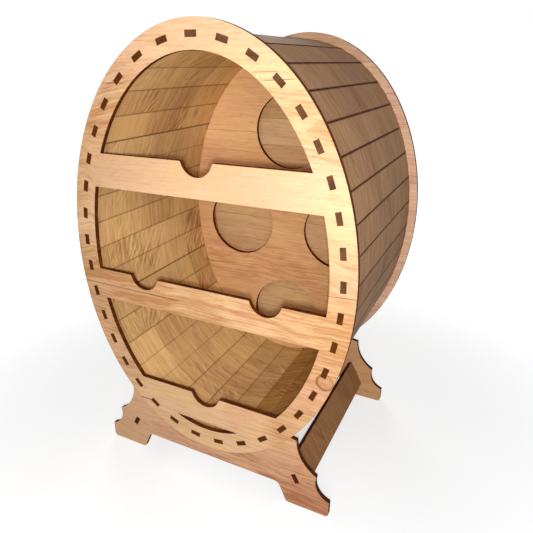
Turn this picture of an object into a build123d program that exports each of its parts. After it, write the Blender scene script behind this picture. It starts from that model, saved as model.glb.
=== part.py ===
from build123d import *
import math
import os

# An oval wine barrel of flat plywood staves, lying on a cradle stand.
# X runs across the front, Y from the front to the back, Z up from the floor.

# Driving dimensions in millimetres: barrel
ply = 6.0
oval_width = 335.0
oval_height = 483.0
stave_count = 37
stave_length = 305.0
tenon_width = 13.0
rim = 14.5

# Bottle places: bars across the front plate and holes in the plate behind
bar_height = 40.0
bottom_bar_height = 42.0
row_pitch = 147.0
bottom_row_height = 66.5
side_place = 82.0
neck_radius = 20.0
neck_rise = 3.6
notch_round = 2.0
hole_diameter = 110.0
base_space = 47.0

# Cradle stand
apron_clear = 27.0
apron_depth = 31.0
horn_rise = 42.5
horn_width = 26.0
horn_fall = 4.5
upper_step = (27.0, 45.0)
lower_step = (18.0, 31.0)
hollow = 7.3
ledge = 1.5
foot_width = 56.0
foot_slope = 12.0
toe_round = 5.0
heel_round = 4.0
apron_round = 9.0
stand_setback = 36.0
rail_width = 41.0
rail_tenon = 13.0
rail_lean = 28.0
rail_below_horn = 59.0

# Clearances
tenon_fit = 0.15
stave_gap = 0.02
plate_gap = 0.3
cradle_gap = 0.3
stand_play = 1.0

# Depths along Y, from the front face of the front plate to the back
depth = stave_length + 2 * ply
front_face = -depth / 2
shell_front = front_face + ply
shell_back = shell_front + stave_length
bottle_plate_front = shell_back - base_space - ply
stand_front_face = shell_front + stand_play
stand_rear_face = shell_back - stand_setback - ply

# The tenon line: every stave's tenon is centred on this oval, equally spaced clockwise from the top
half_width = oval_width / 2
half_height = oval_height / 2
quarter_turn = 90
quarters = [
    EllipticalCenterArc((0, 0), half_width, half_height, (1 - index) * quarter_turn, arc_size=-quarter_turn)
    for index in range(4)
]
tenon_line = Wire(quarters)
stave_places = [index / stave_count for index in range(stave_count)]
centres = [tenon_line.position_at(place) for place in stave_places]
tangents = [tenon_line.tangent_at(place) for place in stave_places]


def neighbour_room(index):
    """Half the width that leaves square-edged neighbours just apart at their inner corners."""
    after = (index + 1) % stave_count
    half_turn = math.radians(tangents[index].get_angle(tangents[after])) / 2
    half_chord = (centres[after] - centres[index]).length / 2
    return half_chord / math.cos(half_turn) - ply / 2 * math.tan(half_turn)


def stave_width(index):
    """The width that brings a stave close up to the nearer of its two neighbours."""
    return 2 * min(neighbour_room(index - 1), neighbour_room(index)) - stave_gap


stave_widths = [stave_width(index) for index in range(stave_count)]

# The cradle clears the staves' outer corners, which stand proud of the oval where it bends most
tightest_radius = half_width ** 2 / half_height
corner_proud = (min(stave_widths) / 2) ** 2 / (2 * tightest_radius)
cradle_offset = ply / 2 + corner_proud + cradle_gap
cradle_half_width = half_width + cradle_offset
cradle_half_height = half_height + cradle_offset
barrel_centre = apron_clear + apron_depth + cradle_half_height

# Bottle places as (x, height of the bar's upper edge), measured from the middle of the oval
bottom_row = bottom_row_height - half_height
places = [
    (0, bottom_row),
    (-side_place, bottom_row + row_pitch),
    (side_place, bottom_row + row_pitch),
    (0, bottom_row + 2 * row_pitch),
]
row_heights = sorted({height for _, height in places})
bar_heights = [bottom_bar_height, bar_height, bar_height]


def board(outline, face, centre_height=0.0):
    """A sheet cut to an outline drawn in X and Z, with its front face at the given depth."""
    sheet = Plane(origin=(0, face, centre_height), x_dir=(1, 0, 0), z_dir=(0, -1, 0))
    return extrude(sheet * outline, amount=-ply)


def tenoned_plank(width, length, tenon):
    """A flat plank along Y with a tenon as long as a sheet is thick at both ends."""
    outline = Rectangle(width, length) + Rectangle(tenon, length + 2 * ply)
    return extrude(outline, amount=ply / 2, both=True)


def oval(margin):
    """The tenon line's oval grown by a margin."""
    return Ellipse(half_width + margin, half_height + margin)


def stave_mortises():
    """One slot for each stave's tenon, turned to lie along the oval."""
    slot = Rectangle(tenon_width + 2 * tenon_fit, ply + 2 * tenon_fit)
    slots = []
    for centre, tangent in zip(centres, tangents):
        turn = math.degrees(math.atan2(tangent.Y, tangent.X))
        slots.append(Pos(centre.X, centre.Y) * Rot(0, 0, turn) * slot)
    return slots


def front_plate_outline():
    """Rim, crossbars and neck notches, cut from one sheet."""
    rows = zip(row_heights, bar_heights)
    bars = [Pos(0, edge - height / 2) * Rectangle(oval_width, height) for edge, height in rows]
    opening = oval(-rim) - bars
    notches = [Pos(x, height + neck_rise) * Circle(neck_radius) for x, height in places]
    outline = oval(rim) - opening - notches
    half_mouth = math.sqrt(neck_radius ** 2 - neck_rise ** 2)
    mouths = [(x + side * half_mouth, height) for x, height in places for side in (-1, 1)]
    corners = [outline.vertices().sort_by_distance(mouth)[0] for mouth in mouths]
    return fillet(corners, notch_round) - stave_mortises()


def bottle_plate_outline():
    """The oval inside the staves, with a hole in line with each neck notch."""
    holes = [Pos(x, height + neck_rise) * Circle(hole_diameter / 2) for x, height in places]
    return oval(-ply / 2 - plate_gap) - holes


def stave(centre, tangent, width):
    """One stave, lying along Y at its place on the oval."""
    middle = (centre.X, (shell_front + shell_back) / 2, barrel_centre + centre.Y)
    seat = Plane(origin=middle, x_dir=(tangent.X, 0, tangent.Y), z_dir=(-tangent.Y, 0, tangent.X))
    return seat * tenoned_plank(width, stave_length, tenon_width)


# Corners of the stand's right half, from the horn down to the floor and in to the middle
cradle_bottom = apron_clear + apron_depth
horn_top = cradle_bottom + horn_rise
horn_share = (barrel_centre - horn_top) / cradle_half_height
horn_inner = cradle_half_width * math.sqrt(1 - horn_share ** 2)
horn_tip = Vector(horn_inner + horn_width, horn_top)
upper_end = horn_tip + Vector(upper_step[0], -upper_step[1])
lower_start = upper_end + Vector(0, -ledge)
toe_top = lower_start + Vector(lower_step[0], -lower_step[1])
toe = Vector(toe_top.X, 0)
heel = Vector(toe.X - foot_width, 0)
apron_end = Vector(heel.X - foot_slope, apron_clear)
apron_middle = Vector(0, apron_clear)
horn_root = Vector(0, horn_top + horn_fall)
horn_shoulder = Vector(horn_inner, horn_root.Y)
rail_centre = Vector(horn_tip.X, horn_tip.Y - rail_below_horn)


def stand_outline():
    """Two scrolled legs joined by an apron, with a cradle for the barrel and mortises for the rails."""
    edges = [
        Polyline(horn_root, horn_shoulder, horn_tip),
        SagittaArc(horn_tip, upper_end, -hollow),
        Line(upper_end, lower_start),
        SagittaArc(lower_start, toe_top, -hollow),
        Polyline(toe_top, toe, heel, apron_end, apron_middle, horn_root),
    ]
    half = make_face(edges)

    def corner(point):
        return half.vertices().sort_by_distance(point)[0]

    half = fillet(corner(toe), toe_round)
    half = fillet(corner(heel), heel_round)
    half = fillet(corner(apron_end), apron_round)
    cradle = Pos(0, barrel_centre) * Ellipse(cradle_half_width, cradle_half_height)
    slot = Rectangle(ply + 2 * tenon_fit, rail_tenon + 2 * tenon_fit)
    mortise = Pos(rail_centre.X, rail_centre.Y) * Rot(0, 0, rail_lean) * slot
    half = half - cradle - mortise
    return half + mirror(half, about=Plane.YZ)


def rail(side):
    """One leaning rail between the stand boards, on the left (-1) or the right (1)."""
    lean = math.radians(rail_lean)
    middle = (side * rail_centre.X, (stand_front_face + stand_rear_face + ply) / 2, rail_centre.Y)
    down = (side * math.sin(lean), 0, -math.cos(lean))
    outward = (side * math.cos(lean), 0, math.sin(lean))
    seat = Plane(origin=middle, x_dir=down, z_dir=outward)
    return seat * tenoned_plank(rail_width, stand_rear_face - stand_front_face - ply, rail_tenon)


nodes = {
    "front_plate": board(front_plate_outline(), front_face, barrel_centre),
    "back_plate": board(oval(rim) - stave_mortises(), shell_back, barrel_centre),
    "bottle_plate": board(bottle_plate_outline(), bottle_plate_front, barrel_centre),
    "stand_front": board(stand_outline(), stand_front_face),
    "stand_rear": board(stand_outline(), stand_rear_face),
    "rail_left": rail(-1),
    "rail_right": rail(1),
}
for number, seat in enumerate(zip(centres, tangents, stave_widths), start=1):
    nodes[f"stave_{number:02d}"] = stave(*seat)

os.makedirs("parts", exist_ok=True)
for name, solid in nodes.items():
    export_step(solid, f"parts/{name}.step")
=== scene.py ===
import math
import random

import bpy
from mathutils import Matrix, Vector


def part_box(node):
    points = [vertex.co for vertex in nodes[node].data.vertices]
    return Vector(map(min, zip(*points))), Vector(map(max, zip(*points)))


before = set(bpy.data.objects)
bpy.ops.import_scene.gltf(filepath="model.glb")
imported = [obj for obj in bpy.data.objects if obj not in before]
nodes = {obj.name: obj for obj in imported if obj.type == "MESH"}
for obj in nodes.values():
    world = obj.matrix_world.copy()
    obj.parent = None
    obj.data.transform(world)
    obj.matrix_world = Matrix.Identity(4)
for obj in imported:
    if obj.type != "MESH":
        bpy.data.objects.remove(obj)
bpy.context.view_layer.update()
random_seed = 37
draw = random.Random(random_seed)
X = Vector((1, 0, 0))
Y = Vector((0, 1, 0))
Z = Vector((0, 0, 1))


def linear(red, green, blue):
    """An 8-bit screen colour as a linear RGBA colour."""
    toe, slope, offset, power = 0.04045, 12.92, 0.055, 2.4
    channels = []
    for value in (red, green, blue):
        share = value / 255
        channels.append(share / slope if share <= toe else ((share + offset) / (1 + offset)) ** power)
    return (*channels, 1.0)


def tinted(colour, factors):
    """A colour with its red, green and blue multiplied."""
    return (*(value * factor for value, factor in zip(colour, factors)), 1.0)


# Pale and dark colour of each board's wood
front_wood = (linear(228, 188, 148), linear(184, 131, 88))
back_wood = (linear(240, 198, 146), linear(196, 140, 92))
bottle_wood = (linear(232, 186, 138), linear(188, 132, 86))
stave_wood = (linear(230, 190, 133), linear(160, 113, 66))
stand_front_wood = (linear(212, 167, 131), linear(166, 110, 76))
stand_rear_wood = (linear(198, 154, 112), linear(160, 110, 74))
rail_wood = (linear(158, 113, 73), linear(116, 76, 45))

# Colours of marks in the wood, and of what the laser left on it: soot goes from black to brown
glue_brown = linear(84, 48, 26)
crack_brown = linear(92, 50, 26)
knot_wood = linear(176, 120, 78)
knot_rim = linear(122, 78, 42)
seam_brown = linear(82, 38, 6)
toast_brown = linear(104, 54, 24)
barrel_soot = (linear(57, 27, 10), linear(130, 64, 19))
stand_soot = (linear(45, 22, 11), linear(101, 50, 18))
tenon_soot = (linear(42, 20, 8), linear(95, 49, 15))
# Painted light: a paler, greyer copy of the tenon soot for the tenon ends on the upper right
lit_tenon_soot = (linear(46, 29, 19), linear(101, 68, 44))

# Factors on a colour's channels
yellow_blush = (1.0, 1.0, 0.91, 1.0)
pink_blush = (1.0, 0.965, 0.99, 1.0)
feather_dark = (0.60, 0.54, 0.46, 1.0)
feather_pale = (1.22, 1.24, 1.28, 1.0)
# The staves' outside factors are painted shade: they make that side darker and greyer
stave_outside_shade = (0.63, 0.56, 0.64, 1.0)
back_outside = (0.77, 0.80, 1.10, 1.0)

# Neutral tones of the surroundings
white = (1.0, 1.0, 1.0, 1.0)
sky_light = (0.95, 0.98, 1.0, 1.0)
floor_greys = ((0.50, 0.50, 0.50, 1.0), (0.52, 0.52, 0.52, 1.0))


class Value:
    """A number at each point of a surface. The signs + - * / and abs() add the nodes that work it out."""

    def __init__(self, graph, socket):
        self.graph = graph
        self.socket = socket

    def __add__(self, other):
        return self.graph.math("ADD", self, other)

    def __sub__(self, other):
        return self.graph.math("SUBTRACT", self, other)

    def __rsub__(self, other):
        return self.graph.math("SUBTRACT", other, self)

    def __mul__(self, other):
        return self.graph.math("MULTIPLY", self, other)

    def __truediv__(self, other):
        return self.graph.math("DIVIDE", self, other)

    def __abs__(self):
        return self.graph.math("ABSOLUTE", self)

    __radd__ = __add__
    __rmul__ = __mul__


class Graph:
    """Short calls for building the nodes of a material or world, from Values, sockets and plain numbers."""

    # Places of the sockets that a Mix node uses for colours
    mix_share, mix_first, mix_second, mix_result = 0, 6, 7, 2

    def __init__(self, holder, output="ShaderNodeOutputMaterial"):
        self.holder = holder
        self.holder.use_nodes = True
        self.tree = self.holder.node_tree
        self.tree.nodes.clear()
        self.output = self.add(output)

    def add(self, kind, inputs=None, **settings):
        made = self.tree.nodes.new(kind)
        for key, value in settings.items():
            setattr(made, key, value)
        for key, value in (inputs or {}).items():
            self.put(made.inputs[key], value)
        return made

    def put(self, socket, value):
        if isinstance(value, Value):
            value = value.socket
        if isinstance(value, bpy.types.NodeSocket):
            self.tree.links.new(value, socket)
        else:
            socket.default_value = value

    def show(self, shader):
        self.put(self.output.inputs["Surface"], shader.outputs[0])

    def math(self, operation, *values, clamp=False):
        made = self.add("ShaderNodeMath", dict(enumerate(values)), operation=operation, use_clamp=clamp)
        return Value(self, made.outputs[0])

    def vector(self, operation, *values):
        made = self.add("ShaderNodeVectorMath", dict(enumerate(values)), operation=operation)
        return Value(self, made.outputs["Value" if operation in ("LENGTH", "DOT_PRODUCT") else "Vector"])

    def combine(self, x, y, z):
        return Value(self, self.add("ShaderNodeCombineXYZ", {"X": x, "Y": y, "Z": z}).outputs[0])

    def object_place(self):
        return self.add("ShaderNodeTexCoord").outputs["Object"]

    def face_normal(self):
        return self.add("ShaderNodeNewGeometry").outputs["True Normal"]

    def noise(self, vector, scale=1.0, detail=2.0, roughness=0.5):
        inputs = {"Vector": vector, "Scale": scale, "Detail": detail, "Roughness": roughness}
        return Value(self, self.add("ShaderNodeTexNoise", inputs).outputs["Fac"])

    def scatter(self, value):
        """A steady random number for each whole value."""
        made = self.add("ShaderNodeTexWhiteNoise", {"W": value}, noise_dimensions="1D")
        return Value(self, made.outputs["Value"])

    def remap(self, value, low, high, to_low=0.0, to_high=1.0, smooth=True):
        inputs = {"Value": value, "From Min": low, "From Max": high, "To Min": to_low, "To Max": to_high}
        kind = "SMOOTHSTEP" if smooth else "LINEAR"
        return Value(self, self.add("ShaderNodeMapRange", inputs, interpolation_type=kind).outputs["Result"])

    def mix(self, share, first, second, blend="MIX"):
        inputs = {self.mix_share: share, self.mix_first: first, self.mix_second: second}
        made = self.add("ShaderNodeMix", inputs, data_type="RGBA", blend_type=blend)
        return made.outputs[self.mix_result]

    def seen(self):
        """One for rays that show a thing to the viewer, straight or mirrored, and zero for all others."""
        rays = self.add("ShaderNodeLightPath").outputs
        mirrored = self.math("MAXIMUM", rays["Is Glossy Ray"], rays["Is Transmission Ray"])
        return self.math("MAXIMUM", rays["Is Camera Ray"], mirrored)

    def wood(self, colour, roughness, height, depth, strength, specular):
        """Finish a material with a colour, a roughness, a bump and a weak gloss."""
        bump = self.add("ShaderNodeBump", {"Height": height, "Distance": depth, "Strength": strength})
        inputs = {"Base Color": colour, "Roughness": roughness, "Normal": bump.outputs[0]}
        inputs["Specular IOR Level"] = specular
        self.show(self.add("ShaderNodeBsdfPrincipled", inputs))
        return self.holder


def swing(value, reach=1.0):
    """A value between 0 and 1 turned into one about zero."""
    return (value - 0.5) * reach


def grain_frame(graph, axes, origin):
    """Distances in metres from an origin along the given axes of the board."""
    place = graph.vector("SUBTRACT", graph.object_place(), tuple(origin))
    return [graph.vector("DOT_PRODUCT", place, tuple(axis)) for axis in axes]


# Noise layers of a veneer: waves per metre along and across the grain, detail, roughness and a step aside
veneer_layers = {
    "sway": (4.0, 0.0, 1.0, 0.5, 0.0),
    "ripple": (12.0, 60.0, 3.0, 0.55, 0.0),
    "streak": (20.0, 190.0, 3.0, 0.6, 0.0),
    "fibre": (40.0, 1300.0, 2.0, 0.6, 0.0),
    "pore": (150.0, 2300.0, 1.0, 0.5, 0.0),
    "dash": (45.0, 420.0, 2.0, 0.5, 3.0),
    "cloud": (5.0, 14.0, 2.0, 0.5, 5.0),
    "patch": (16.0, 16.0, 1.0, 0.5, 9.0),
    "blush": (9.0, 22.0, 2.0, 0.5, 13.0),
}

# Noise levels between which a layer comes in
streak_levels = (0.30, 0.70)
dash_levels = (0.56, 0.72)
pore_levels = (0.58, 0.68)
patch_levels = (0.52, 0.66)
blush_levels = (0.35, 0.65)


def veneer_noise(graph, u, v, shift):
    """Every noise layer of a veneer by its name."""
    layers = {}
    for name, (along, across, detail, roughness, step) in veneer_layers.items():
        place = graph.combine(u * along, v * across, shift + step)
        layers[name] = graph.noise(place, detail=detail, roughness=roughness)
    return layers


def veneer_leaves(graph, v, width, seed):
    """Leaves of veneer laid edge to edge: a tone and a turn for each, and the glue joints between them."""
    leaves_below = 10 + 0.37 * (seed % 3)
    tone_seed = seed * 7.31
    turn_seed = seed * 3.77 + 50.0
    thin, thick = 0.00010, 0.00040
    place = (v + width * leaves_below) / width
    number = graph.math("FLOOR", place)
    tone = graph.scatter(number + tone_seed)
    turn = graph.scatter(number + turn_seed)
    from_middle = abs(graph.math("FRACT", place) - 0.5)
    to_joint = (0.5 - from_middle) * width
    joint = graph.remap(to_joint, thin, thick, 1.0, 0.0)
    return tone, turn, joint


def growth_rings(graph, u, v, leaf, tone, turn, layers):
    """How far each point lies through its year. Rings are straight at a leaf's sides, arched at its heart."""
    ring_width = 0.0046
    heart_depth = 0.012
    arch_shift = 0.4
    arch_slope = 0.22
    sway_reach = 0.06
    ripple_reach = 0.009
    heart = v - swing(turn, leaf)
    rise = (u + swing(tone, arch_shift)) * swing(turn, arch_slope)
    depth = heart_depth + rise + swing(layers["sway"], sway_reach)
    radius = graph.math("SQRT", heart * heart + depth * depth) + layers["ripple"] * ripple_reach
    return graph.math("FRACT", radius / ring_width)


def flame_figure(graph, u, v, shift):
    """Bands that slant across the grain."""
    cosine, sine = 0.80, 0.60
    waves_along, waves_across = 30.0, 230.0
    along = u * cosine + v * sine
    across = v * cosine - u * sine
    return graph.noise(graph.combine(along * waves_along, across * waves_across, shift))


def wander(graph, u, v, lean, unrest, seed):
    """The distance across the grain, bent as the grain wanders, more so where the wood is lively."""
    waves_along, waves_across = 13.0, 24.0
    least, more = 0.004, 0.012
    bend = graph.noise(graph.combine(u * waves_along, v * waves_across, seed))
    return v + lean + swing(bend) * (unrest * more + least)


def veneer_grain(graph, u, v, flat_v, leaf, seed):
    """The layers of the grain by name, with a tone for each leaf and the joints between leaves."""
    leaf_spread = 37.0
    late_wood = 1.6
    early, late = 0.50, 0.95
    early_pores = 0.2
    leaf_tone, leaf_turn, joint = veneer_leaves(graph, flat_v, leaf, seed)
    leaf_shift = leaf_tone * leaf_spread
    layers = veneer_noise(graph, u, v, leaf_shift)
    year = growth_rings(graph, u, v, leaf, leaf_tone, leaf_turn, layers)
    return {
        "leaf": leaf_tone,
        "joint": joint,
        "late": graph.math("POWER", year, late_wood),
        "streak": graph.remap(layers["streak"], *streak_levels),
        "dash": graph.remap(layers["dash"], *dash_levels),
        "pore": graph.remap(layers["pore"], *pore_levels) * graph.remap(year, early, late, early_pores, 1.0),
        "patch": graph.remap(layers["patch"], *patch_levels),
        "blush": graph.remap(layers["blush"], *blush_levels),
        "flame": flame_figure(graph, u, v, leaf_shift),
        "fibre": layers["fibre"],
        "cloud": layers["cloud"],
    }


def sheet_areas(graph, u, v, areas):
    """How much browner and livelier each point is, and how far the grain leans there."""
    tone = 0.0
    life = 0.0
    lean = 0.0
    for area in areas:
        share, area_tone, area_life, area_lean = area(graph, u, v)
        tone = tone + share * area_tone
        life = life + share * area_life
        lean = lean + share * area_lean
    return tone, life, lean


def veneer_tone(graph, grain, browner, unrest, figure, patchwork, fineness):
    """Where each point lies between the pale and the dark colour of the wood."""
    quiet_tone = 0.24
    least_life = 0.40
    late_weight, streak_weight, dash_weight = 0.20, 0.44, 0.36
    cloud_weight, flame_weight = 0.80, 2.8
    rings = grain["late"] * late_weight + swing(grain["streak"], streak_weight) + grain["dash"] * dash_weight
    tone = quiet_tone + browner + rings * (unrest + least_life)
    tone = tone + swing(grain["fibre"], fineness) + swing(grain["cloud"], cloud_weight)
    tone = tone + swing(grain["leaf"], patchwork)
    return graph.math("ADD", tone, swing(grain["flame"], flame_weight) * grain["patch"] * figure, clamp=True)


def oak_face(name, axes, origin, wood, seed, leaf=0.11, figure=0.5, unrest=0.35, patchwork=0.25,
             fineness=0.55, glue=0.70, margin=0.62, areas=(), marks=(), seams=None, outside=None,
             outside_tint=None):
    """Oak veneer: leaves joined edge to edge, each with its own rings, streaks, fibres, pores and figure."""
    pore_share, pore_shade = 0.35, 0.45
    fibre_height = 0.3
    smoothest, roughest = 0.57, 0.69
    outside_figure_loss = 0.6
    pale, dark = wood
    graph = Graph(bpy.data.materials.new(name))
    u, flat_v = grain_frame(graph, axes[:2], origin)
    browner, life, lean = sheet_areas(graph, u, flat_v, areas)
    unrest = unrest + life
    v = wander(graph, u, flat_v, lean, unrest, seed)
    grain = veneer_grain(graph, u, v, flat_v, leaf, seed)

    # The side that faces out has weaker figure, stronger margins and a tint of its own; on the staves that
    # tint is painted shade, darker and greyer where light falls at a slant
    outer_side = outside(graph, u, flat_v) if outside else 0.0
    figure = figure - outer_side * (outside_figure_loss * figure)
    margin = margin + outer_side * (1.0 - margin)

    tone = veneer_tone(graph, grain, browner, unrest, figure, patchwork, fineness)
    colour = graph.mix(tone, pale, dark)
    blush = graph.mix(grain["blush"], yellow_blush, pink_blush)
    colour = graph.mix(1.0, colour, blush, "MULTIPLY")
    # The outward side takes its tint here; on the staves this is painted shade
    if outside:
        colour = graph.mix(outer_side, colour, graph.mix(1.0, colour, outside_tint, "MULTIPLY"))
    colour = graph.mix(grain["pore"] * pore_share, colour, tinted(dark, (pore_shade, pore_shade, pore_shade)))
    colour = graph.mix(grain["joint"] * glue, colour, glue_brown)
    for mark in marks:
        colour = mark(graph, u, flat_v, colour)
    if seams:
        colour = graph.mix(seams(graph, u, outer_side), colour, seam_brown)
    colour = toasted(graph, colour, margin)
    height = grain["fibre"] * fibre_height - (grain["pore"] + grain["joint"])
    roughness = graph.remap(grain["streak"], 0.0, 1.0, smoothest, roughest, smooth=False)
    return graph.wood(colour, roughness, height, depth=0.00012, strength=0.35, specular=0.10)


def toasted(graph, colour, strength):
    """A narrow brown margin where the laser left the face next to a cut edge."""
    margin_radius = 0.0013
    bevel_samples = 6
    clear, full = 0.01, 0.28
    round_normal = graph.add("ShaderNodeBevel", {"Radius": margin_radius}, samples=bevel_samples).outputs[0]
    turn = 1.0 - graph.vector("DOT_PRODUCT", graph.face_normal(), round_normal)
    return graph.mix(graph.remap(turn, clear, full) * strength, colour, toast_brown)


def burnt_edge(name, axes, origin, soot_colours, seed):
    """A laser-cut edge: charred plies, browner where the beam left less soot."""
    ply_thickness = 0.0015
    soot_scale = 60.0
    tick_waves = 900.0
    tick_length = 60.0
    ply_line_width = 0.5
    soot_weight, ply_weight, tick_weight = 0.75, 0.18, 0.25
    brown_levels = (0.35, 0.85)
    soot_levels = (0.3, 0.7)
    smoothest, roughest = 0.62, 0.80
    graph = Graph(bpy.data.materials.new(name))
    u, v, w = grain_frame(graph, axes, origin)
    place = graph.vector("ADD", graph.combine(u, v, w), (seed, seed, seed))
    soot = graph.noise(place, soot_scale, detail=4.0, roughness=0.6)
    ply_wave = abs(graph.math("SINE", w * (math.pi / ply_thickness)))
    ply_line = graph.remap(ply_wave, 0.0, ply_line_width, 1.0, 0.0)
    ticks = graph.noise(graph.combine(u * tick_waves, v * tick_waves, w * tick_length), detail=1.0)
    share = soot * soot_weight + ply_line * ply_weight + ticks * tick_weight
    colour = graph.mix(graph.remap(share, *brown_levels), *soot_colours)
    roughness = graph.remap(soot, *soot_levels, smoothest, roughest, smooth=False)
    return graph.wood(colour, roughness, ticks, depth=0.00015, strength=0.4, specular=0.05)


def lively(along, across, fade, tone, life=0.0, slope=0.0):
    """An area of a sheet, by its reach along and across the grain, that is browner, livelier or sloping."""
    middle = sum(along) / 2

    def find(graph, u, v):
        share = 1.0
        for place, (low, high) in ((u, along), (v, across)):
            share = graph.remap(place, low - fade, low + fade) * share
            share = graph.remap(place, high - fade, high + fade, 1.0, 0.0) * share
        return share, tone, life, (middle - u) * slope

    return find


def facing(direction):
    """The side of a sheet that looks a given way."""

    def find(graph, u, v):
        towards = graph.vector("DOT_PRODUCT", graph.face_normal(), tuple(direction))
        return graph.math("GREATER_THAN", towards, 0.0)

    return find


def beyond_oval(half_width, half_height, direction):
    """All of the side that looks a given way, and the rim of the other one."""
    rear = facing(direction)

    def find(graph, u, v):
        place = graph.combine(u / half_width, v / half_height, 0.0)
        rim = graph.math("GREATER_THAN", graph.vector("LENGTH", place), 1.0)
        return graph.math("MAXIMUM", rim, rear(graph, u, v))

    return find


def crack(start, end, width=0.0004, strength=0.65):
    """A thin dark line on a veneer face between two points, in metres along and across the grain."""
    wobble_waves = 60.0
    wobble_reach = 0.0012
    end_fade = 0.004
    core, edge = width * 0.5, width * 1.5
    start, end = Vector(start), Vector(end)
    length = (end - start).length
    way = (end - start) / length

    def paint(graph, u, v, colour):
        du = u - start.x
        dv = v - start.y
        run = du * way.x + dv * way.y
        wobble = graph.noise(graph.combine(run * wobble_waves, 0.0, start.x))
        off = dv * way.x - du * way.y + swing(wobble, wobble_reach)
        thin = graph.remap(abs(off), core, edge, 1.0, 0.0)
        within = graph.remap(abs(run - length / 2), length / 2 - end_fade, length / 2, strength, 0.0)
        return graph.mix(thin * within, colour, crack_brown)

    return paint


def knot(centre, radius):
    """A small round knot: a dark rim, thicker on one side, round browner wood."""
    rim_scale = 130.0
    swirl_scale = 240.0
    swirl_shift = (3.0, 5.0, 0.0)
    swirl_levels = (0.35, 0.65)
    swirl_shares = (0.25, 0.55)
    rim_strength = 0.68
    heart_offset = (radius * 0.08, radius * 0.07, 0.0)
    outer_edge = (radius * 0.94, radius * 1.04)
    inner_edge = (radius * 0.72, radius * 0.92)
    outer_uneven, inner_uneven = radius * 0.30, radius * 0.45

    def paint(graph, u, v, colour):
        place = graph.combine(u - centre[0], v - centre[1], 0.0)
        uneven = swing(graph.noise(place, rim_scale))
        outer = graph.vector("LENGTH", place) + uneven * outer_uneven
        heart = graph.vector("SUBTRACT", place, heart_offset)
        inner = graph.vector("LENGTH", heart) + uneven * inner_uneven
        inside = graph.remap(outer, *outer_edge, 1.0, 0.0)
        rim = inside * graph.remap(inner, *inner_edge)
        swirl = graph.noise(graph.vector("ADD", place, swirl_shift), swirl_scale)
        colour = graph.mix(inside * graph.remap(swirl, *swirl_levels, *swirl_shares), colour, knot_wood)
        return graph.mix(rim * rim_strength, colour, knot_rim)

    return paint


def feather(root, middle, strength):
    """Feathered figure on a stave: strokes that fan out from a root across it, at a place along its depth."""
    reach = 0.052
    stroke_angle = 0.185
    stroke_wobble = 11.0
    waves_along, waves_across = 45.0, 70.0
    weak_side, strong_side = reach * -0.4, reach * 0.2
    weak_share = 0.12
    gap_levels = (-0.16, 0.10)
    gap_share = 0.15
    crest = 0.9

    def paint(graph, u, v, colour):
        aside = v - middle
        spot = graph.combine(u * waves_along, v * waves_across, root)
        wobble = swing(graph.noise(spot, detail=3.0, roughness=0.6))
        fan = graph.math("ARCTAN2", aside, u - root) * (math.tau / stroke_angle)
        wave = graph.math("SINE", fan + wobble * stroke_wobble)
        within = graph.remap(abs(aside), reach / 2, reach, strength, 0.0)
        within = within * graph.remap(aside, weak_side, strong_side, weak_share, 1.0)
        within = within * graph.remap(wobble, *gap_levels, gap_share, 1.0)
        colour = graph.mix(within * graph.remap(wave, 0.0, crest), colour, feather_dark, "MULTIPLY")
        return graph.mix(within * graph.remap(wave, -crest, 0.0, 1.0, 0.0), colour, feather_pale, "MULTIPLY")

    return paint


def stave_seams(middle, half_width, before, after, outer):
    """Scorched margins along a stave's two sides: a strength for each inside, and one for both outside."""
    clear_from_edge, full_from_edge = 0.0020, 0.0002
    clear = half_width - clear_from_edge
    full = half_width - full_from_edge

    def find(graph, u, outer_side):
        place = u - middle
        shares = []
        for side, inner in ((-1.0, before), (1.0, after)):
            strength = inner + outer_side * (outer - inner)
            shares.append(graph.remap(place * side, clear, full, 0.0, strength))
        return graph.math("MAXIMUM", *shares)

    return find


def centre_of(node):
    """The middle of a node's box."""
    low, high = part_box(node)
    return (low + high) / 2


def broad_normal(mesh):
    """The direction of the widest flat side that runs along the depth."""
    end_facing = 0.5
    digits = 2
    areas = {}
    for face in mesh.polygons:
        if abs(face.normal.y) < end_facing:
            key = tuple(round(value, digits) for value in face.normal)
            areas[key] = areas.get(key, 0.0) + face.area
    return Vector(max(areas, key=areas.get)).normalized()


def dress(node, face_material, edge_material, normal, end_material=None):
    """Veneer on the two broad sides of a sheet, burnt wood on every cut edge and on the ends of tenons."""
    face_slot, edge_slot, end_slot = range(3)
    parallel = 0.9
    mesh = nodes[node].data
    mesh.materials.clear()
    for material in (face_material, edge_material, end_material or edge_material):
        mesh.materials.append(material)
    for face in mesh.polygons:
        if abs(face.normal.dot(normal)) > parallel:
            face.material_index = face_slot
        elif abs(face.normal.y) > parallel:
            face.material_index = end_slot
        else:
            face.material_index = edge_slot


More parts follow.
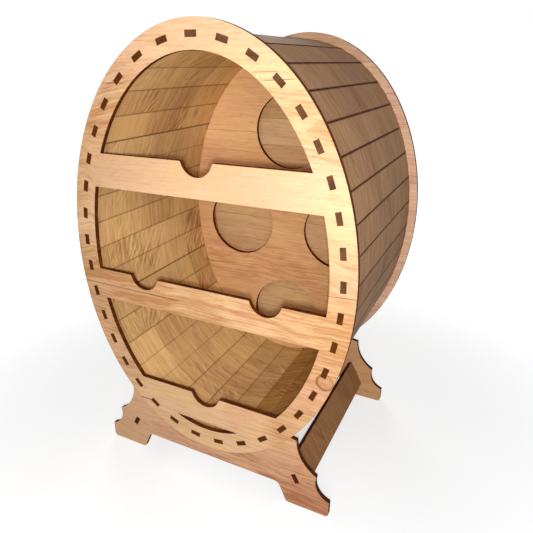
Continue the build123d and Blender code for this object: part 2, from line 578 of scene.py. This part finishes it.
# Marks and areas of the plates, in metres to the right of and above the middle of each plate
front_marks = [
    crack((-0.150, 0.1950), (-0.085, 0.1958)),
    crack((0.0753, 0.2000), (0.1105, 0.2018)),
    crack((0.0646, 0.2071), (0.0945, 0.2082), strength=0.5),
    crack((-0.184, -0.0490), (-0.030, -0.0486), width=0.0006, strength=0.60),
    crack((-0.172, -0.0830), (-0.146, -0.0865)),
    crack((0.140, -0.0045), (0.184, -0.0015)),
    crack((-0.112, -0.2100), (-0.078, -0.2092), width=0.0007, strength=0.85),
    knot((0.1545, -0.1070), 0.0105),
]
front_areas = [
    lively((-0.25, 0.25), (-0.110, -0.010), fade=0.020, tone=0.22, life=0.70),
    lively((-0.22, -0.02), (0.142, 0.215), fade=0.018, tone=0.16, life=0.80, slope=0.22),
    lively((-0.22, -0.15), (-0.020, 0.140), fade=0.010, tone=0.09, life=0.50, slope=0.30),
    lively((0.09, 0.25), (-0.215, -0.105), fade=0.015, tone=0.36, life=0.30),
    lively((0.10, 0.25), (-0.105, 0.020), fade=0.020, tone=0.14, life=0.10),
    lively((-0.25, -0.04), (-0.110, -0.020), fade=0.020, tone=0.22, life=0.10),
    lively((-0.25, -0.10), (-0.190, -0.110), fade=0.020, tone=0.16, life=0.30),
    lively((0.08, 0.25), (0.020, 0.200), fade=0.030, tone=0.05),
    lively((0.06, 0.25), (0.128, 0.195), fade=0.012, tone=0.10, life=0.70, slope=-0.12),
    lively((0.14, 0.25), (0.002, 0.062), fade=0.012, tone=0.05, life=0.50, slope=-0.20),
    lively((-0.135, 0.145), (0.074, 0.124), fade=0.006, tone=0.0, life=-0.35),
    lively((-0.14, 0.03), (-0.217, -0.170), fade=0.012, tone=-0.16),
]
bottle_marks = [
    crack((-0.150, 0.1185), (0.150, 0.1190), strength=0.45),
    crack((-0.160, 0.0885), (0.160, 0.0880), strength=0.35),
    crack((-0.156, -0.1060), (0.068, -0.0840), strength=0.40),
]
bottle_areas = [
    lively((-0.25, 0.25), (-0.125, -0.060), fade=0.015, tone=0.08, life=0.60),
    # Painted light: the top of the bottle plate is paler, as if more brightly lit
    lively((-0.25, 0.25), (0.105, 0.30), fade=0.010, tone=-0.27),
    lively((-0.25, 0.25), (-0.30, 0.09), fade=0.010, tone=0.06),
]
stand_areas = [
    lively((-0.06, 0.14), (-0.05, 0.00), fade=0.02, tone=0.08, life=0.60),
    # The two areas over the right foot are darker, partly browner wood and partly painted shade
    lively((0.06, 0.25), (-0.10, -0.02), fade=0.02, tone=0.38, life=0.20),
    lively((0.115, 0.25), (-0.10, 0.00), fade=0.015, tone=0.35),
    lively((-0.25, -0.09), (-0.10, 0.10), fade=0.02, tone=-0.30),
]

# The back plate's rim stands out past the staves; it and the plate's rear face take a darker, bluer tint
barrel_low, barrel_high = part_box("front_plate")
axis = (barrel_low + barrel_high) / 2
oval_half = (barrel_high - barrel_low) / 2
back_rim = 0.0115
back_outside_area = beyond_oval(oval_half.x - back_rim, oval_half.z - back_rim, direction=Y)
plate_axes = (X, Z, Y)
plate_figure = 0.15


def dress_plate(node, wood, soot, seed, **veneer):
    """Veneer and burnt edges for a board that stands across the depth."""
    origin = centre_of(node)
    face = oak_face(f"oak_{node}", plate_axes, origin, wood, seed, figure=plate_figure, **veneer)
    edge = burnt_edge(f"edge_{node}", plate_axes, origin, soot, seed)
    dress(node, face, edge, Y)


dress_plate("front_plate", front_wood, barrel_soot, seed=1.0, leaf=0.42, unrest=0.15, areas=front_areas,
            marks=front_marks)
dress_plate("back_plate", back_wood, barrel_soot, seed=2.0, leaf=0.041, unrest=0.35,
            outside=back_outside_area, outside_tint=back_outside)
dress_plate("bottle_plate", bottle_wood, barrel_soot, seed=3.0, leaf=0.42, unrest=0.25, areas=bottle_areas,
            marks=bottle_marks)
dress_plate("stand_front", stand_front_wood, stand_soot, seed=4.0, leaf=0.30, unrest=0.50, areas=stand_areas)
dress_plate("stand_rear", stand_rear_wood, stand_soot, seed=5.0, leaf=0.30, unrest=0.50)

# Staves are numbered clockwise from the top. These groups differ from the rest by factors on their colour
dusky = (range(2, 6), (0.90, 0.86, 0.86))
dim = (range(11, 14), (0.82, 0.81, 0.79))
# Painted shade: staves 17 and 18, low on the right inside, are darker and warmer
shaded_gold = (range(17, 19), (0.79, 0.72, 0.53))
ruddy = (range(33, 35), (0.93, 0.88, 0.84))
light = ((29, 35, 36), (1.10, 1.10, 1.07))
plain_tint = (1.0, 1.0, 1.0)
# Tenon ends that take the paler soot, which is painted light
lit_tenons = range(1, 11)

# Strength of the scorched seam after a stave, on the inside of the barrel and on its outside
faint_seams = (17, 18, 22, 23, 31, 35)
strong_seams = (26, 32)
faint_seam, plain_seam, strong_seam, outer_seam = 0.18, 0.36, 0.72, 0.90

# Feathered figure: its root across the stave, its middle along the depth, and its strength
stave_feathers = {
    6: (-0.045, -0.115, 0.40),
    7: (-0.040, -0.118, 0.40),
    25: (-0.040, -0.108, 0.70),
    28: (-0.040, -0.106, 0.75),
    34: (-0.045, -0.096, 0.85),
}

# Darker and paler places: their reach across the stave and along the depth, their soft edge and their tone
whole_width = (-0.02, 0.02)
stave_places = {
    5: [(whole_width, (0.000, 0.035), 0.012, 0.45)],
    27: [(whole_width, (0.000, 0.070), 0.030, 0.15)],
    28: [(whole_width, (0.055, 0.120), 0.012, 0.25)],
    33: [
        (whole_width, (-0.20, -0.0655), 0.002, -0.30),
        ((0.0, 0.014), (0.042, 0.052), 0.006, 0.45),
        ((-0.02, 0.0), (-0.005, 0.010), 0.008, 0.25),
    ],
}

# Neighbouring staves are cut side by side from one sheet
stave_pitch = 0.0353
staves_per_sheet = 4
tenon_end = burnt_edge("tenon_end", plate_axes, axis, tenon_soot, seed=80.0)
# Painted light: a paler copy of the tenon-end soot, for the ends on the lit upper right
lit_tenon_end = burnt_edge("lit_tenon_end", plate_axes, axis, lit_tenon_soot, seed=81.0)


def stave_tint(number):
    """Factors on a stave's red, green and blue."""
    for numbers, factors in (dusky, dim, shaded_gold, ruddy, light):
        if number in numbers:
            return factors
    return plain_tint


def seam_strength(number):
    """How strongly the seam after a stave is scorched on the inside."""
    if number in faint_seams:
        return faint_seam
    return strong_seam if number in strong_seams else plain_seam


def draw_sheet():
    """Chance features of the sheet that a few neighbouring staves are cut from."""
    return {
        "seed": 10.0 + draw.uniform(0.0, 40.0),
        "leaf": draw.uniform(0.06, 0.11),
        "figure": draw.uniform(0.4, 1.0),
        "tint": draw.uniform(0.92, 1.08),
    }


def outward_normal(node, origin):
    """The direction of a stave's broad side that looks away from the barrel's axis."""
    normal = broad_normal(nodes[node].data)
    outward = Vector((origin.x - axis.x, 0.0, origin.z - axis.z))
    return normal if normal.dot(outward) >= 0 else -normal


def dress_stave(number, node, sheet, place):
    """Veneer, burnt edges and tenon ends for one stave, cut at its place across a sheet."""
    origin = centre_of(node)
    normal = outward_normal(node, origin)
    across = Y.cross(normal).normalized()
    axes = (across, Y, normal)
    along_sheet = stave_pitch * place
    brightness = sheet["tint"] * draw.uniform(0.95, 1.05)
    margin = draw.uniform(0.25, 0.85)
    tint = [brightness * channel for channel in stave_tint(number)]
    wood = [tinted(colour, tint) for colour in stave_wood]
    half_width = max((vertex.co - origin).dot(across) for vertex in nodes[node].data.vertices)
    seams = stave_seams(along_sheet, half_width, seam_strength(number - 1), seam_strength(number), outer_seam)
    areas = []
    for (low, high), depth, fade, tone in stave_places.get(number, ()):
        areas.append(lively((low + along_sheet, high + along_sheet), depth, fade, tone))
    marks = []
    if number in stave_feathers:
        root, middle, strength = stave_feathers[number]
        marks.append(feather(root + along_sheet, middle, strength))
    # Painted shade: the outside of the stave is tinted darker and greyer
    face = oak_face(f"oak_{node}", axes, origin - across * along_sheet, wood, sheet["seed"],
                    leaf=sheet["leaf"], figure=sheet["figure"], unrest=0.30, patchwork=0.35, fineness=0.95,
                    glue=0.30, margin=margin, areas=areas, marks=marks, seams=seams,
                    outside=facing(normal), outside_tint=stave_outside_shade)
    edge = burnt_edge(f"edge_{node}", axes, origin, barrel_soot, sheet["seed"])
    dress(node, face, edge, normal, lit_tenon_end if number in lit_tenons else tenon_end)


staves = sorted(name for name in nodes if name.startswith("stave"))
for index, node in enumerate(staves):
    place = index % staves_per_sheet
    if place == 0:
        sheet = draw_sheet()
    dress_stave(index + 1, node, sheet, place)


def dress_rail(node, seed):
    """Veneer and burnt edges for one rail of the stand."""
    origin = centre_of(node)
    normal = broad_normal(nodes[node].data)
    axes = (Y.cross(normal).normalized(), Y, normal)
    face = oak_face(f"oak_{node}", axes, origin, rail_wood, seed, fineness=1.1)
    edge = burnt_edge(f"edge_{node}", axes, origin, stand_soot, seed)
    dress(node, face, edge, normal)


dress_rail("rail_left", seed=60.0)
dress_rail("rail_right", seed=61.0)


def floor_material():
    """A pale floor that shows white a little way from the object and keeps its shadow."""
    speckle_scale = 40.0
    near, far = 0.25, 0.95
    near_glow, far_glow = 0.55, 1.0
    graph = Graph(bpy.data.materials.new("pale_floor"))
    place = graph.object_place()
    speckle = graph.noise(place, speckle_scale, detail=3.0)
    diffuse = graph.add("ShaderNodeBsdfDiffuse", {"Color": graph.mix(speckle, *floor_greys)})
    whiteness = graph.remap(graph.vector("LENGTH", place), near, far, near_glow, far_glow)
    glow = graph.add("ShaderNodeEmission", {"Color": white, "Strength": graph.seen() * whiteness})
    graph.show(graph.add("ShaderNodeAddShader", {0: diffuse.outputs[0], 1: glow.outputs[0]}))
    return graph.holder


def lay_floor():
    """A wide level sheet under the feet."""
    span = 6.0
    corners = [(-span, -span, 0), (span, -span, 0), (span, span, 0), (-span, span, 0)]
    floor_mesh = bpy.data.meshes.new("floor")
    floor_mesh.from_pydata(corners, [], [(0, 1, 2, 3)])
    floor_mesh.materials.append(floor_material())
    floor = bpy.data.objects.new("floor", floor_mesh)
    bpy.context.scene.collection.objects.link(floor)


def studio_world():
    """Surroundings that are white to the viewer and light the object softly."""
    light_strength, seen_strength = 0.20, 1.0
    world = bpy.data.worlds.new("studio")
    bpy.context.scene.world = world
    graph = Graph(world, "ShaderNodeOutputWorld")
    seen = graph.seen()
    colour = graph.mix(seen, sky_light, white)
    strength = graph.remap(seen, 0.0, 1.0, light_strength, seen_strength, smooth=False)
    graph.show(graph.add("ShaderNodeBackground", {"Color": colour, "Strength": strength}))


lay_floor()
studio_world()

# Camera recovered from the photograph: pixels for the lens, metres for the place
photo_width = 533.0
focal_pixels = 508.90
optical_centre = (246.13, 271.63)
sensor_width = 36.0
nearest_seen = 0.01
camera_place = Vector((0.2933, -0.6109, 0.51914))
camera_aim = Vector((-0.0229, 0.0, 0.2370))
camera_roll = math.radians(-0.232)


def turn_towards(place, target):
    """The turn that makes a lamp or camera look from a place at a target, with its top upwards."""
    return (target - place).to_track_quat("-Z", "Y").to_matrix().to_4x4()


def photo_camera():
    """The camera at the photograph's place, lens and framing. Returns its turn."""
    camera = bpy.data.cameras.new("camera")
    camera.sensor_width = sensor_width
    camera.lens = focal_pixels / photo_width * sensor_width
    camera.shift_x = (photo_width / 2 - optical_centre[0]) / photo_width
    camera.shift_y = (optical_centre[1] - photo_width / 2) / photo_width
    camera.clip_start = nearest_seen
    viewer = bpy.data.objects.new("camera", camera)
    turn = turn_towards(camera_place, camera_aim) @ Matrix.Rotation(camera_roll, 4, "Z")
    viewer.matrix_world = Matrix.Translation(camera_place) @ turn
    bpy.context.scene.collection.objects.link(viewer)
    bpy.context.scene.camera = viewer
    return turn


# A small key lamp just below the lens, a large soft one behind it, and a fill at the rear
key_below_lens = 0.015
soft_behind_lens = 0.40
lamp_target = Vector((0.0, 0.0, 0.30))
fill_place = Vector((-0.9, 1.3, 0.8))


def area_light(name, place, size, power):
    """A round lamp that looks at the middle of the barrel."""
    lamp = bpy.data.lights.new(name, "AREA")
    lamp.shape = "DISK"
    lamp.size = size
    lamp.energy = power
    holder = bpy.data.objects.new(name, lamp)
    holder.matrix_world = Matrix.Translation(place) @ turn_towards(place, lamp_target)
    holder.visible_camera = False
    bpy.context.scene.collection.objects.link(holder)


camera_turn = photo_camera().to_3x3()
camera_up = camera_turn @ Y
camera_back = camera_turn @ Z
area_light("key", camera_place - key_below_lens * camera_up, size=0.016, power=3.32)
area_light("soft", camera_place + soft_behind_lens * camera_back, size=0.5, power=4.95)
area_light("back_fill", fill_place, size=0.9, power=12.0)
bpy.context.scene.view_settings.view_transform = "Standard"
